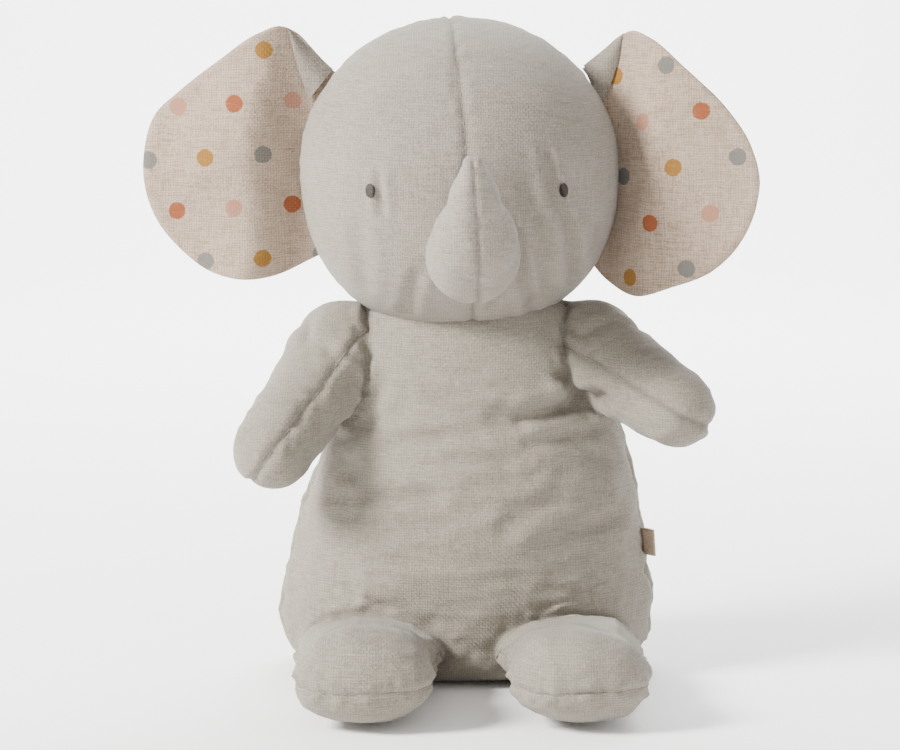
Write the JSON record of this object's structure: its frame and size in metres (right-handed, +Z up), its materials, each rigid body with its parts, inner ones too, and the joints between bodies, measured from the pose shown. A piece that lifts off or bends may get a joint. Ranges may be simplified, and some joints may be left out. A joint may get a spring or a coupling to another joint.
{
  "type": "stuffed elephant",
  "caption": "Seated stuffed elephant in plain linen with a raised trunk, dotted ear linings, embroidered eyes and short padded arms and legs.",
  "frame": {"origin": "middle of the flat seat that the toy sits on", "axes": "+Z up; the face and feet point along -Y; +X is the toy's own left"},
  "size_m": [0.2315, 0.1623, 0.2434],
  "materials": {
    "head_linen": "matte",
    "body_linen": "matte",
    "ear_back_linen": "matte",
    "ear_lining": "matte",
    "filling": "matte",
    "seam_thread": "matte",
    "eye_thread": "satin",
    "label_tape": "matte"
  },
  "bodies": {
    "torso": {"body_back_panel": "body_linen", "body_front_panel": "body_linen", "body_left_side_seam": "seam_thread", "body_right_side_seam": "seam_thread", "body_stuffing": "filling"},
    "neck": {"neck_stuffing": "filling", "neck_seam": "seam_thread"},
    "head": {"eye_left": "eye_thread", "eye_right": "eye_thread", "head_back_left_panel": "head_linen", "head_back_right_panel": "head_linen", "head_centre_seam": "seam_thread", "head_crown_seam": "seam_thread", "head_front_left_panel": "head_linen", "head_front_right_panel": "head_linen", "head_stuffing": "filling"},
    "trunk": {"trunk_left_panel": "head_linen", "trunk_right_panel": "head_linen", "trunk_seam": "seam_thread", "trunk_stuffing": "filling"},
    "label": {"label": "label_tape"},
    "ear_left": {"ear_left_back": "ear_back_linen", "ear_left_lining": "ear_lining"},
    "arm_left": {"arm_left_back_panel": "body_linen", "arm_left_front_panel": "body_linen", "arm_left_seam": "seam_thread", "arm_left_stuffing": "filling"},
    "leg_left": {"leg_left_seam": "seam_thread", "leg_left_sole_panel": "body_linen", "leg_left_stuffing": "filling", "leg_left_upper_panel": "body_linen"},
    "ear_right": {"ear_right_back": "ear_back_linen", "ear_right_lining": "ear_lining"},
    "arm_right": {"arm_right_back_panel": "body_linen", "arm_right_front_panel": "body_linen", "arm_right_seam": "seam_thread", "arm_right_stuffing": "filling"},
    "leg_right": {"leg_right_seam": "seam_thread", "leg_right_sole_panel": "body_linen", "leg_right_stuffing": "filling", "leg_right_upper_panel": "body_linen"}
  },
  "joints": [
    {"name": "neck_turn", "type": "hinge", "parent": "torso", "child": "neck", "pos_m": [0.0012, 0, 0.132], "axis": [0, 0, 1], "range_deg": [-25, 25], "stiffness_Nm_per_rad": 0.15},
    {"name": "head_nod", "type": "hinge", "parent": "neck", "child": "head", "pos_m": [0.0012, 0, 0.132], "axis": [1, 0, 0], "range_deg": [-12, 12], "stiffness_Nm_per_rad": 0.4},
    {"name": "trunk_curl", "type": "hinge", "parent": "head", "child": "trunk", "pos_m": [0.00225, -0.06403, 0.16492], "axis": [-0.9962, -0.0522, -0.0698], "range_deg": [-20, 20], "stiffness_Nm_per_rad": 0.03},
    {"name": "ear_left_flap", "type": "hinge", "parent": "head", "child": "ear_left", "pos_m": [0.0572, 0, 0.184], "axis": [0, 0, -1], "range_deg": [-25, 15], "stiffness_Nm_per_rad": 0.02},
    {"name": "ear_right_flap", "type": "hinge", "parent": "head", "child": "ear_right", "pos_m": [-0.0622, 0, 0.188], "axis": [0, 0, 1], "range_deg": [-20, 30], "stiffness_Nm_per_rad": 0.02},
    {"name": "arm_left_raise", "type": "hinge", "parent": "torso", "child": "arm_left", "pos_m": [0.047, -0.008, 0.1185], "axis": [0, -1, 0], "range_deg": [-5, 25], "stiffness_Nm_per_rad": 0.08},
    {"name": "arm_right_raise", "type": "hinge", "parent": "torso", "child": "arm_right", "pos_m": [-0.046, -0.005, 0.1185], "axis": [0, 1, 0], "range_deg": [-5, 45], "stiffness_Nm_per_rad": 0.08},
    {"name": "leg_left_lift", "type": "hinge", "parent": "torso", "child": "leg_left", "pos_m": [0.0385, -0.032, 0.0205], "axis": [-1, 0, 0], "range_deg": [-80, 12]},
    {"name": "leg_right_lift", "type": "hinge", "parent": "torso", "child": "leg_right", "pos_m": [-0.036, -0.032, 0.0205], "axis": [-1, 0, 0], "range_deg": [-80, 12]},
    {"name": "label_flap", "type": "hinge", "parent": "torso", "child": "label", "pos_m": [0.0684, -0.006, 0.048], "axis": [0, 0, 1], "range_deg": [-35, 35], "stiffness_Nm_per_rad": 0.0005}
  ]
}
